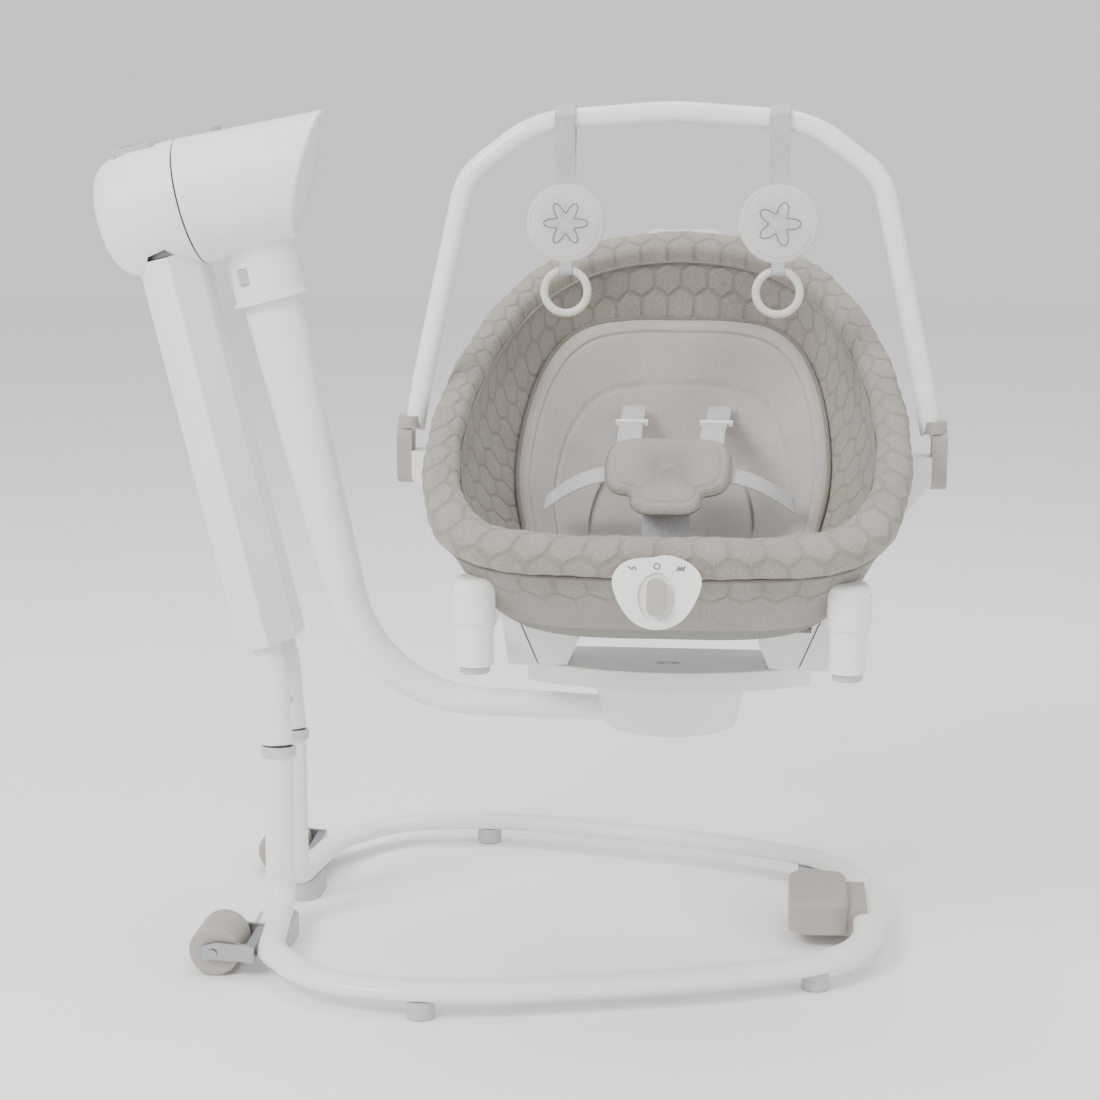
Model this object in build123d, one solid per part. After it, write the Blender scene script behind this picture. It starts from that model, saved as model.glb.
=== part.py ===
"""Baby swing: looped floor stand, drive head, swinging arm, swivelling carrier and lift-off rocker seat.

Design frame: millimetres, +Z up, +X from the column towards the seat, -Y in front of the seat.
The swivel axis of the seat stands at X = Y = 0 while the part is drawn; the finished part is then
moved so that the middle of its footprint is the origin.
"""
from build123d import *
import math
import os

# ---------------------------------------------------------------- driving dimensions
TUBE_W, TUBE_T, TUBE_WALL = 32.0, 20.0, 1.6      # oval stand tube: width, thickness, wall
TUBE_Z = 26.0                                    # centre height of the floor loop
FOOT_R, FOOT_H = 14.0, 18.0
LEG_X, LEG_Y, COLLAR_Z = -415.0, 36.0, 194.0     # the two legs where they enter the collars
TILT = 13.4                                      # the sway axis rises this many degrees towards the seat
AXIS_X, AXIS_Z = -376.0, 802.0                   # point on the sway axis at the open end of the drum
COL_S, COL_LOW, COL_TOP = -163.5, -468.0, -50.0  # column centre along the axis, lower and upper ends
HEAD_R, NOSE_R = 66.0, 59.0                      # drum radius at the seam and at its open end
SEAM_S, TAIL_S = -127.0, -221.0                  # seam and closed tail along the axis
BEVEL = 26.7                                     # slope of the drum's open end
ARM_S, ARM_TOP = -73.0, -62.0                    # arm centre along the axis and its upper end
ARM_BEND_R, ARM_END = 150.0, (-58.0, 241.0)      # arm bend radius and its end inside the hub
CUP_R, CUP_FLOOR_R, CUP_LOW, CUP_TOP = 81.0, 70.0, 228.0, 279.0
POST_R = 15.0
PLATE_LOW, PLATE_TOP, PLATE_HALF, PLATE_FRONT, PLATE_REAR = 280.5, 301.0, 147.0, -86.0, 30.0
DOCK_Y0, DOCK_Y1 = -65.0, -5.0
SEAT_SLOPE = 28.0                                # slope of the seat rim, front to back
RIM_ORIGIN = (0.0, -280.0, 455.0)                # middle of the front rim
RIM_MID_Q = 270.0                                # middle of the rim outline, measured up the slope
FLOOR_SHIFT = 0.30                               # the bowl moves this much forward per unit of depth
# bowl levels as (depth below the rim, scale of the rim outline)
COVER_OUT = [(-12, 1.0), (-4, 1.045), (10, 1.045), (24, 1.0), (45, 0.955), (92, 0.855), (132, 0.70), (165, 0.46)]
COVER_IN = [(-14, 0.90), (0, 0.90), (45, 0.89), (90, 0.79), (128, 0.62), (152, 0.40)]
PAD_OUT = [(4, 0.894), (45, 0.884), (89, 0.784), (127, 0.615), (151, 0.395)]
PAD_IN = [(3, 0.81), (40, 0.80), (76, 0.70), (110, 0.54), (133, 0.33)]
TUBE_LEVELS = (-5.0, 9.0, 0.945, 1.005)          # rim tube: top, bottom, inner and outer scale
LEG_SEAT = (177.0, -245.0, 343.0, 385.0)         # seat leg: x, y, lower and upper ends
RAIL_X, RAIL_Z, RAIL_R, HOOP_Y = 188.0, 400.0, 10.0, 258.0
RUNNER_X, RUNNER_Z, RUNNER_R = 188.0, 345.0, 10.0
BAR_Y, BAR_R, BAR_PIVOT_Z, BAR_TOP_Z = -60.0, 10.5, 512.0, 864.0
TOY_X = 106.0
ROLLER_R, ROLLER_L, ROLLER_X, ROLLER_Y = 26.0, 58.0, -452.0, 165.0
CLEAR = 0.3

U = Vector(math.cos(math.radians(TILT)), 0, math.sin(math.radians(TILT)))
W = Vector(-math.sin(math.radians(TILT)), 0, math.cos(math.radians(TILT)))
SWAY = Plane(origin=(AXIS_X, 0, AXIS_Z), x_dir=U, z_dir=W)     # local x along the axis, z up the column
RIM_UP = Vector(0, -math.sin(math.radians(SEAT_SLOPE)), math.cos(math.radians(SEAT_SLOPE)))
RIM = Plane(origin=RIM_ORIGIN, x_dir=(1, 0, 0), z_dir=RIM_UP)  # local y up the slope, z out of the seat

parts = {}


# ---------------------------------------------------------------- helpers
def in_sway(shape):
    """Place a shape drawn in axis coordinates (along the axis, across, up the column)."""
    return SWAY.location * shape


def in_rim(shape):
    """Place a shape drawn in seat coordinates (across, up the slope, out of the seat)."""
    return RIM.location * shape


def sway_point(s, r, y=0.0):
    return Vector(AXIS_X, y, AXIS_Z) + U * s + W * r


def oval_tube(path, width, thickness, wall, wide=(0, 1, 0)):
    """Hollow oval tube along a path; wide is the direction of its wider side at the start."""
    start = Plane(origin=path @ 0, x_dir=wide, z_dir=path % 0)
    section = Ellipse(width / 2, thickness / 2)
    if wall:
        section -= Ellipse(width / 2 - wall, thickness / 2 - wall)
    return sweep(start * section, path=path)


def round_tube(path, radius, wall=0.0):
    section = Circle(radius)
    if wall:
        section -= Circle(radius - wall)
    return sweep(Plane(origin=path @ 0, z_dir=path % 0) * section, path=path)


def turned(points):
    """Solid of revolution about local X from (along, radius) points."""
    outline = Polyline(*[(s, 0, r) for s, r in points], close=True)
    return revolve(make_face(outline), axis=Axis.X)


def beyond(s, tilt, offset=0.0):
    """Everything past a plane that crosses the sway axis at s, leaning by tilt, moved by offset."""
    return Pos(s, 0, 0) * Rot(0, tilt, 0) * Pos(offset + 200, 0, 0) * Box(400, 400, 400)


def xz_slab(points, y0, y1):
    """A prism from (x, z) points, between two values of y."""
    face = make_face(Polyline(*[(x, y0, z) for x, z in points], close=True))
    return extrude(face, y1 - y0, dir=(0, 1, 0))


def mirrored(shape):
    return mirror(shape, about=Plane.YZ)


def both_sides(shape):
    """The shape and its mirror image across the seat's middle plane."""
    return Compound([*shape.solids(), *mirrored(shape).solids()])


# ---------------------------------------------------------------- floor stand
def base_path():
    """Down one leg, round the egg-shaped floor loop and up the other leg."""
    half = [(LEG_X, -LEG_Y, COLLAR_Z), (LEG_X, -LEG_Y, TUBE_Z), (-400, -180, TUBE_Z), (-335, -268, TUBE_Z),
            (-200, -288, TUBE_Z), (40, -226, TUBE_Z), (212, -150, TUBE_Z)]
    radii = [23, 120, 120, 330, 600, 130]
    points = half + [(x, -y, z) for x, y, z in reversed(half)]
    return FilletPolyline(*points, radius=radii + radii[::-1])


def upper_path(side):
    """Tube from the collar up into the column."""
    knee = sway_point(COL_S, COL_LOW - 30)
    top = sway_point(COL_S, COL_TOP - 40)
    y = side * LEG_Y
    return FilletPolyline((LEG_X, y, COLLAR_Z + 8), (knee.X, y * 0.9, knee.Z),
                          (top.X, y * 0.86, top.Z), radius=90)


def base_tube(wall):
    """Floor loop and its two legs, bent from one oval tube; solid when the wall is nothing."""
    return oval_tube(base_path(), TUBE_W, TUBE_T, wall, wide=(1, 0, 0))


FEET_AT = [(-227, -284), (-227, 284), (155, -171), (155, 171)]


def base_feet(envelope):
    feet = []
    for x, y in FEET_AT:
        foot = Pos(x, y, 0) * Cylinder(FOOT_R, FOOT_H, align=(Align.CENTER, Align.CENTER, Align.MIN))
        foot = fillet(foot.edges().sort_by(Axis.Z)[0], 2.5)
        feet += (foot - envelope).solids()
    return Compound(feet + rear_pads(envelope))


def rear_pads(envelope):
    """Grey pads under the bends at the bottom of the legs."""
    pads = []
    for side in (-1, 1):
        pad = Pos(-412, side * 78, 0) * extrude(SlotOverall(72, 42, rotation=90), 22)
        pads.append(max((pad - envelope).solids(), key=lambda s: s.volume if s.center().Z < 20 else 0))
    return pads


def tube_collars():
    rings = []
    for side in (-1, 1):
        at = Pos(LEG_X, side * LEG_Y, COLLAR_Z - 4)
        ring = at * extrude(Ellipse(TUBE_W / 2 + 3, TUBE_T / 2 + 3) - Ellipse(TUBE_W / 2, TUBE_T / 2), 10)
        rings += ring.solids()
    return Compound(rings)


def roller(side):
    body = Pos(ROLLER_X, side * ROLLER_Y, ROLLER_R) * Rot(90, 0, 0) * (
        Cylinder(ROLLER_R, ROLLER_L) - Cylinder(5.0, ROLLER_L + 2))
    return fillet(body.edges().filter_by(GeomType.CIRCLE).group_by(SortBy.RADIUS)[-1], 3)


def roller_axles():
    pins = []
    for side in (-1, 1):
        pin = Pos(ROLLER_X, side * ROLLER_Y, ROLLER_R) * Rot(90, 0, 0) * (
            Cylinder(4.95, ROLLER_L + 18) + Pos(0, 0, side * (ROLLER_L / 2 + 10.5)) * Cylinder(8, 3))
        pins += pin.solids()
    return Compound(pins)


def roller_brackets(envelope, axles):
    """Forks that carry the rear rollers, moulded round the back of the floor loop."""
    forks = []
    for side in (-1, 1):
        arms = None
        for end in (-1, 1):
            y = side * ROLLER_Y + end * (ROLLER_L / 2 + 4)
            arm = xz_slab([(ROLLER_X - 10, ROLLER_R - 6), (ROLLER_X - 10, ROLLER_R + 8),
                           (ROLLER_X + 4, ROLLER_R + 12), (-412, TUBE_Z + 9), (-412, TUBE_Z - 8)],
                          y - 2.5, y + 2.5)
            arms = arm if arms is None else arms + arm
        web = Pos(-414, side * ROLLER_Y, TUBE_Z) * Box(9, ROLLER_L + 13, 17)
        fork = arms + web - envelope - axles
        forks.append(max(fork.solids(), key=lambda s: s.volume))
    return Compound(forks)


def front_block(envelope):
    """Rounded block inside the seat end of the loop."""
    block = Pos(160, 0, 16) * extrude(RectangleRounded(62, 118, 18), 34)
    block = fillet(block.edges().sort_by(Axis.Z)[-8:], 6)
    strap = Pos(196, 0, TUBE_Z) * Box(30, 90, TUBE_T + 10)
    return (block + strap - envelope).solids().sort_by(SortBy.VOLUME)[-1]


def stand():
    envelope = base_tube(0)
    axles = roller_axles()
    parts["base_tube"] = base_tube(TUBE_WALL)
    parts["base_feet"] = base_feet(envelope)
    parts["tube_collars"] = tube_collars()
    parts["roller_forks_and_axles"] = Compound([*roller_brackets(envelope, axles).solids(), *axles.solids()])
    parts["roller_near"] = roller(-1)
    parts["roller_far"] = roller(1)
    parts["front_block"] = front_block(envelope)
    tubes = []
    for side, name in ((-1, "near"), (1, "far")):
        tube = oval_tube(upper_path(side), TUBE_W, TUBE_T, TUBE_WALL, wide=(1, 0, 0))
        at = Pos(LEG_X, side * (LEG_Y - TUBE_T / 2), COLLAR_Z + 42) * Rot(90, 0, 0)
        tubes += (tube - at * Cylinder(4.0, 12)).solids()
        parts["snap_button_" + name] = Pos(0, side * 1.5, 0) * (at * Cylinder(3.8, 7))
    parts["upper_tubes"] = Compound(tubes)


# ---------------------------------------------------------------- column and drive head
def column_prism(inset, low, high):
    """Eight-sided column section, drawn along the axis and across it."""
    half = [(-32, 22), (-13, 48), (7, 51), (32, 24)]
    ring = [(s, -y) for s, y in half] + [(s, y) for s, y in reversed(half)]
    face = make_face(Polyline(*ring, close=True))
    face = offset(face, -inset, kind=Kind.INTERSECTION) if inset else face
    return Pos(COL_S, 0, low) * extrude(face, high - low)


def head_body(shrink):
    """Rounded drum of the fixed head, closed at its tail."""
    radius = HEAD_R - shrink
    drum = turned([(SEAM_S - 2, 0), (SEAM_S - 2, radius), (-178, radius), (TAIL_S + shrink, radius - 8),
                   (TAIL_S + shrink, 0)])
    rims = drum.edges().filter_by(GeomType.CIRCLE).sort_by(Axis.X)
    return fillet([rims[0]], 26) if shrink == 0 else fillet([rims[0]], 22)


def head_shell():
    shell = head_body(0) - head_body(3.2)
    shell -= Pos(SEAM_S - 2, 0, 0) * Rot(0, 90, 0) * Cylinder(HEAD_R - 3.2, 8)
    shell -= column_prism(-0.1, COL_LOW, -30)
    shell -= panel_envelope(0.2)
    return in_sway(shell.solids().sort_by(SortBy.VOLUME)[-1])


def panel_envelope(grow=0.0):
    """Sloping control panel let into the top of the head."""
    return Pos(-172, 0, HEAD_R - 3) * Box(44 + 2 * grow, 40 + 2 * grow, 12 + 2 * grow)


BUTTONS = {"power_button": (-182.0, 0.0, 7.0), "speed_button": (-162.0, 0.0, 6.0)}
BUTTON_TOP = HEAD_R + 5.0


def control_panel():
    panel = panel_envelope()
    panel = fillet(panel.edges().filter_by(Axis.Z), 8)
    for s, y, radius in BUTTONS.values():
        panel -= Pos(s, y, HEAD_R) * Cylinder(radius + CLEAR, 20)
    return in_sway(panel)


def panel_button(s, y, radius):
    cap = Pos(s, y, BUTTON_TOP - 4) * Cylinder(radius, 8)
    return in_sway(fillet(cap.edges().sort_by(Axis.Z)[-1], 1))


def column_covers():
    shell = column_prism(0, COL_LOW, COL_TOP) - column_prism(3, COL_LOW - 1, COL_TOP - 3)
    bore = Pos(-150, 0, 0) * Rot(0, 90, 0) * Cylinder(HEAD_R - 6, 200)
    shell -= bore
    split = COL_S - 13
    rear = shell - Pos(split + 100, 0, -250) * Box(200, 200, 700)
    front = shell - Pos(split - 100, 0, -250) * Box(200, 200, 700)
    largest = [s.solids().sort_by(SortBy.VOLUME)[-1] for s in (rear, front)]
    return [in_sway(s) for s in largest]


def along_axis(radius, s0, s1, bore=0.0, y=0.0, r=0.0):
    """Round bar or ring along the sway axis."""
    bar = Cylinder(radius, s1 - s0)
    if bore:
        bar -= Cylinder(bore, s1 - s0 + 2)
    return Pos((s0 + s1) / 2, y, r) * Rot(0, 90, 0) * bar


def bearing_block():
    """Tubular housing for the two bearings, with a foot that stands on the column tubes."""
    block = along_axis(22, -206, -134) - along_axis(16.02, -207, -196) - along_axis(16.02, -144, -133)
    block -= along_axis(10, -208, -132)
    foot = Pos(-166, 0, -34) * Box(40, 60, 30)
    foot -= along_axis(21, -208, -132)
    return in_sway((block + foot).solids().sort_by(SortBy.VOLUME)[-1])


def head():
    parts["head_shell"] = head_shell()
    parts["control_panel"] = control_panel()
    for name, (s, y, radius) in BUTTONS.items():
        parts[name] = panel_button(s, y, radius)
    parts["column_rear_cover"], parts["column_front_cover"] = column_covers()
    parts["bearing_block"] = bearing_block()
    rings = [in_sway(along_axis(16, s, s + 9, bore=8.03)) for s in (-206, -143)]
    parts["bearings"] = Compound([s for ring in rings for s in ring.solids()])
    parts["drive_coil"] = in_sway(along_axis(11, -143, -134, bore=4, r=-40))
    parts["control_board"] = in_sway(Pos(-170, 0, 46) * Box(40, 56, 1.6))


# ---------------------------------------------------------------- swinging arm
def drum(radius_cut):
    """Tapered drum, cut off on the slope of its open end."""
    body = turned([(SEAM_S, 0), (SEAM_S, HEAD_R - radius_cut), (60, NOSE_R - 1.2 - radius_cut), (60, 0)])
    return body


def rotor_shell():
    outer = drum(0) - beyond(0, BEVEL)
    lip = outer.faces().sort_by(Axis.X)[-1].edges()
    outer = fillet(lip, 3.5)
    shell = outer - drum(3.2)
    shell -= socket_envelope(0.0)
    shell -= Pos(-85, 0, HEAD_R) * Cylinder(5.3, 20)
    return in_sway(shell.solids().sort_by(SortBy.VOLUME)[-1])


def rotor_end_cap():
    cap = drum(3.4) - beyond(0, BEVEL, -7) - Rot(0, BEVEL, 0) * Pos(-210, 0, 0) * Box(400, 400, 400)
    cap -= socket_envelope(0.3)
    return in_sway(cap.solids().sort_by(SortBy.VOLUME)[-1])


def socket_envelope(grow):
    return Pos(ARM_S, 0, -118) * extrude(Ellipse(37 + grow, 24 + grow), 72)


def arm_socket():
    """Oval collar under the drum that takes the arm, with a lip at its mouth."""
    collar = socket_envelope(0) + Pos(ARM_S, 0, -118) * extrude(Ellipse(40, 27), 3.5)
    collar -= Pos(ARM_S, 0, -119) * extrude(Ellipse(32.6, 19), 69)
    collar -= Pos(ARM_S - 18, -24, -88) * Box(10.6, 20, 17)
    return in_sway(collar)


def arm_sections(inset):
    """Oval sections down the tapering arm, round its bend and along to the hub."""
    start = sway_point(ARM_S, ARM_TOP)
    first, last = math.radians(TILT - 90), math.radians(-1.5)
    turn = last - first
    down = Vector(math.cos(first), 0, math.sin(first))
    along = Vector(math.cos(last), 0, math.sin(last))
    end = Vector(ARM_END[0], 0, ARM_END[1])
    gap = end - start
    det = down.X * along.Z - down.Z * along.X
    reach = (gap.X * along.Z - gap.Z * along.X) / det       # start to the corner
    corner = start + down * reach
    tangent = ARM_BEND_R * math.tan(turn / 2)
    planes = []
    for t, width in ((0, 64.0), (1, 44.0)):
        planes.append((start + down * (reach - tangent) * t, first, width))
    bend_start = corner - down * tangent
    centre = bend_start + Vector(-math.sin(first), 0, math.cos(first)) * ARM_BEND_R
    for step in range(1, 9):
        t = step / 8
        width = 44.0 - 14.0 * t
        angle = first + turn * t
        planes.append((centre + Vector(math.sin(angle), 0, -math.cos(angle)) * ARM_BEND_R, angle, width))
    bend_end = corner + along * tangent
    planes.append((end, last, 26.0))
    faces = []
    for point, angle, width in planes:
        across = Vector(-math.sin(angle), 0, math.cos(angle))
        plane = Plane(origin=point, x_dir=across, z_dir=Vector(math.cos(angle), 0, math.sin(angle)))
        faces.append(plane * Ellipse(width / 2 - inset, 17.5 - inset))
    return faces


def arm_tube():
    tube = loft(arm_sections(0), ruled=True) - loft(arm_sections(2.2), ruled=True)
    return tube - in_sway(Pos(ARM_S - 18, -19.5, -88) * Box(10.6, 20, 16.6))


def hub_cup(arm_envelope):
    """Round cup on the arm's end, open at the top, with a bored boss for the swivel post."""
    half = Polyline((0, 0, CUP_LOW), (CUP_FLOOR_R, 0, CUP_LOW), (CUP_R, 0, CUP_TOP), (CUP_R - 3, 0, CUP_TOP),
                    (CUP_FLOOR_R - 4, 0, CUP_LOW + 3.2), (0, 0, CUP_LOW + 3.2), close=True)
    cup = revolve(make_face(half), axis=Axis.Z)
    foot = cup.edges().filter_by(GeomType.CIRCLE).group_by(Axis.Z)[0]
    cup = fillet(foot, 3)
    boss = Pos(0, 0, CUP_LOW + 2) * extrude(Circle(24) - Circle(POST_R + 0.06), 33)
    ribs = [Rot(0, 0, a) * Pos(46, 0, CUP_LOW + 14) * Box(46, 3, 24) for a in (45, 90, 135, 225, 270, 315, 0)]
    cup += boss
    for rib in ribs:
        cup += rib
    cup -= Pos(0, 0, CUP_LOW + 6) * extrude(Circle(POST_R + 0.06), 60)
    return (cup - arm_envelope).solids().sort_by(SortBy.VOLUME)[-1]


def swing_arm():
    envelope = loft(arm_sections(0), ruled=True)
    parts["rotor_shell"] = rotor_shell()
    parts["rotor_end_cap"] = rotor_end_cap()
    parts["arm_socket"] = arm_socket()
    parts["arm_tube"] = arm_tube()
    parts["hub_cup"] = hub_cup(envelope)
    parts["sway_shaft"] = in_sway(along_axis(8, -208, -60))
    hub = along_axis(26, -118, -100, bore=8) + Pos(ARM_S, 0, -28) * Box(60, 34, 30)
    hub += Pos(-88, 0, -14) * Box(42, 22, 30)
    hub += Pos(-116, 0, -34) * Box(4, 14, 24)
    parts["rotor_hub"] = in_sway(hub - along_axis(8, -210, -59))
    parts["drive_magnet"] = in_sway(along_axis(9, -126, -118, r=-40))
    window = Pos(ARM_S - 18, -19.5, -88) * Box(10, 7, 16)
    parts["socket_button"] = in_sway(window)
    parts["lock_button"] = in_sway(Pos(-85, 0, HEAD_R - 2) * Cylinder(5, 9))


# ---------------------------------------------------------------- swivelling carrier
def carrier_plate():
    front = ThreePointArc((-PLATE_HALF, -45, 0), (0, PLATE_FRONT, 0), (PLATE_HALF, -45, 0))
    rest = Polyline((PLATE_HALF, -45, 0), (PLATE_HALF, 12, 0), (105, PLATE_REAR, 0), (-105, PLATE_REAR, 0),
                    (-PLATE_HALF, 12, 0), (-PLATE_HALF, -45, 0))
    plate = Pos(0, 0, PLATE_LOW) * extrude(make_face([front, rest]), PLATE_TOP - PLATE_LOW)
    plate = fillet(plate.edges().filter_by(Axis.Z), 7)
    plate = fillet(plate.edges().group_by(Axis.Z)[-1], 2)
    plate -= Pos(0, -42, PLATE_TOP - 3) * extrude(SlotOverall(26, 12), 4)
    plate -= Pos(0, -42, PLATE_TOP - 14) * Cylinder(3, 30)
    return plate


MOUNT = [(-133, 301.5), (-104, 301.5), (-93, 327), (-104, 370), (-140, 394), (-150, 403), (-192, 403),
         (-192, 388), (-169.5, 388), (-169.5, 386.6)]
WALL = [(-134, 301), (-170.4, 386), (-176, 386), (-165, 301)]


def docks():
    """Sloping side walls on the plate's ends that hold the seat's two mounts."""
    wall = xz_slab(WALL, DOCK_Y0, DOCK_Y1)
    rear = xz_slab([(-150, 301), (-104, 301), (-112, 345), (-152, 345)], DOCK_Y1 + 1, DOCK_Y1 + 5)
    joiner = xz_slab([(-165, 301), (-140, 301), (-154, 345), (-166, 345)], DOCK_Y1 - 1, DOCK_Y1 + 5)
    joiner -= xz_slab([(x - CLEAR, z) for x, z in MOUNT], DOCK_Y0, DOCK_Y1 + 0.6)
    return wall + rear + joiner


def carrier():
    parts["carrier_plate"] = carrier_plate()
    post = Pos(0, 0, CUP_LOW + 8) * Cylinder(POST_R, PLATE_LOW - CUP_LOW - 8,
                                             align=(Align.CENTER, Align.CENTER, Align.MIN))
    flange = Pos(0, 0, CUP_LOW + 37.9) * Cylinder(36, PLATE_LOW - CUP_LOW - 37.9,
                                                  align=(Align.CENTER, Align.CENTER, Align.MIN))
    parts["swivel_post"] = post + flange
    dock = docks()
    parts["docks"] = both_sides(dock)
    screw = Pos(0, -42, PLATE_TOP - 3) * Cylinder(4.5, 2.4, align=(Align.CENTER, Align.CENTER, Align.MIN))
    parts["plate_screw"] = screw + Pos(0, -42, PLATE_TOP - 10) * Cylinder(2.9, 14)


# ---------------------------------------------------------------- rocker seat
RIM_HALF = [(0, -4), (70, -4), (130, 0), (176, 14), (204, 44), (220, 90), (228, 150), (228, 205), (223, 265),
            (213, 325), (198, 385), (178, 440), (150, 490), (112, 530), (60, 557), (0, 566)]


def rim_outline(scale, depth):
    """Egg-shaped outline of the seat, scaled about its middle, at a depth below the rim."""
    mid = RIM_MID_Q - FLOOR_SHIFT * max(depth, 0)
    half = [(x * scale, mid + (q - RIM_MID_Q) * scale) for x, q in RIM_HALF]
    points = half + [(-x, q) for x, q in reversed(half[1:-1])]
    return make_face(Polyline(*[(x, q, -depth) for x, q in points], close=True))


def bowl(levels, grow=0.0):
    """Solid through scaled copies of the rim outline, one at each level."""
    return loft([rim_outline(scale + grow, depth) for depth, scale in levels], ruled=True)


def rim_ring():
    """Square tube that stiffens the rim."""
    top, bottom, inner, outer = TUBE_LEVELS
    return bowl([(top, outer), (bottom, outer)]) - bowl([(top, inner), (bottom, inner)])


def seat_soft(cutters):
    """Padded cover with its thick rim, the rim tube inside it, and the lighter body pad that lies in it."""
    ring = rim_ring()
    cover = in_rim(bowl(COVER_OUT) - bowl(COVER_IN) - ring)
    for cutter in cutters:
        cover -= cutter
    outline = [(0, 96), (60, 98), (104, 116), (136, 160), (154, 230), (160, 310), (152, 390), (128, 450),
               (84, 490), (0, 502)]
    points = outline + [(-x, q) for x, q in reversed(outline[1:-1])]
    prism = Pos(0, 0, -250) * extrude(make_face(Polyline(*points, close=True)), 255)
    pad = (bowl(PAD_OUT) - bowl(PAD_IN)) & prism
    pad -= crotch_shape(1.0)
    largest = [shape.solids().sort_by(SortBy.VOLUME)[-1] for shape in (cover, in_rim(ring), in_rim(pad))]
    return largest


TUMMY_Q, TUMMY_D = 192.0, 36.0


def crotch_shape(grow=0.0):
    """Strap that rises from the seat floor to the tummy pad."""
    return Pos(0, 130, -86) * Rot(12, 0, 0) * Box(50 + grow, 7 + grow, 96 + grow)


def tummy_pad():
    pad = extrude(RectangleRounded(122, 92, 26), 15)
    tongue = Pos(0, -50, 0) * extrude(RectangleRounded(70, 54, 20), 15)
    shape = fillet((pad + tongue).edges().group_by(Axis.Z)[-1], 5)
    return in_rim(Pos(0, TUMMY_Q, -TUMMY_D - 7) * shape)


def strap(p0, p1, width, thickness, across=(1, 0, 0)):
    """Flat strap between two points, its width along across."""
    line = Vector(*p1) - Vector(*p0)
    plane = Plane(origin=p0, x_dir=across, z_dir=line)
    return plane.location * extrude(Rectangle(width, thickness), line.length)


def harness():
    parts["tummy_pad"] = tummy_pad()
    straps = in_rim(crotch_shape() - Pos(0, 0, -TUMMY_D + 13) * Box(90, 400, 42)).solids()
    sliders = []
    for side in (-1, 1):
        low = (side * 42, TUMMY_Q + 47.5, -TUMMY_D)
        high = (side * 46, 372, -96)
        straps += in_rim(strap(low, high, 25, 2)).solids()
        middle = Vector(*low) + (Vector(*high) - Vector(*low)) * 0.62
        plane = Plane(origin=middle, x_dir=(1, 0, 0), z_dir=Vector(*high) - Vector(*low))
        slider = Box(34, 5, 11) - Box(25.2, 2.2, 20)
        sliders += in_rim(plane.location * slider).solids()
        straps += in_rim(strap((side * 63, TUMMY_Q - 8, -TUMMY_D - 1), (side * 118, TUMMY_Q + 6, -74),
                               25, 2, across=(0, 1, 0))).solids()
    parts["harness_straps"] = Compound(straps)
    parts["strap_sliders"] = Compound(sliders)


def seat_frame(grow=0.0, wall=0.0):
    """Bent tube: rails beside the seat, rising behind it to a hoop at the top of the back."""
    half = [(-RAIL_X, -226, RAIL_Z), (-RAIL_X, 100, RAIL_Z), (-150, 228, 640), (-105, HOOP_Y, 700)]
    points = half + [(-x, y, z) for x, y, z in reversed(half)]
    path = FilletPolyline(*points, radius=[70, 30, 30, 30, 30, 70])
    return round_tube(path, RAIL_R + grow, wall)


def runner():
    """Bent rocker tube that the lifted-off seat stands on at the back."""
    half = [(-RUNNER_X, -188, RUNNER_Z + 14), (-RUNNER_X, -140, RUNNER_Z), (-RUNNER_X, 206, RUNNER_Z)]
    points = half + [(-x, y, z) for x, y, z in reversed(half)]
    path = FilletPolyline(*points, radius=[40, 45, 45, 40])
    return round_tube(path, RUNNER_R, 1.5)


def seat_hard():
    x, y, low, high = LEG_SEAT
    rails_envelope = seat_frame()
    leg = Pos(x, y, low) * extrude(Circle(18) - Circle(16), high - low)
    parts["seat_legs"] = both_sides(leg)
    glide = Pos(x, y, low - 8) * Cylinder(14.5, 8, align=(Align.CENTER, Align.CENTER, Align.MIN))
    glide = fillet(glide.edges().sort_by(Axis.Z)[0], 2)
    parts["glide_feet"] = both_sides(glide)
    socket = Pos(x, y, high) * Cylinder(20, 44, align=(Align.CENTER, Align.CENTER, Align.MIN))
    socket = fillet(socket.edges().sort_by(Axis.Z)[-1], 6)
    socket += Pos(x + 7, y + 21, RAIL_Z) * Box(30, 24, 25)
    socket -= rails_envelope
    socket = socket.solids().sort_by(SortBy.VOLUME)[-1]
    parts["leg_sockets"] = both_sides(socket)
    parts["seat_frame_tube"] = seat_frame(wall=1.5)
    rockers = runner()
    for y0 in (-130, 30):
        strut = Pos(RUNNER_X, y0, RUNNER_Z + RUNNER_R - 1) * extrude(Circle(7), RAIL_Z - RUNNER_Z - RUNNER_R)
        clamp = Pos(RUNNER_X, y0, RAIL_Z - 9) * Box(24, 20, 12)
        whole = (strut + clamp - rails_envelope).solids().sort_by(SortBy.VOLUME)[-1]
        rockers += whole
        rockers += mirrored(whole)
    parts["runner_tube"] = rockers
    mount = xz_slab(MOUNT, DOCK_Y0 + 2, DOCK_Y1)
    mount -= xz_slab([(-146, 340), (-121, 340), (-126, 370), (-151, 370)], DOCK_Y0, DOCK_Y1 - 6)
    mount -= rails_envelope
    mount = mount.solids().sort_by(SortBy.VOLUME)[-1]
    parts["seat_mounts"] = both_sides(mount)
    handle = Pos(0, HOOP_Y + 16, 716) * Box(80, 10, 34)
    handle = fillet(handle.edges().filter_by(Axis.Y), 6)
    handle -= round_tube(Polyline((-100, HOOP_Y, 700), (100, HOOP_Y, 700)), RAIL_R + 0.05)
    parts["back_handle"] = handle


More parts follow.
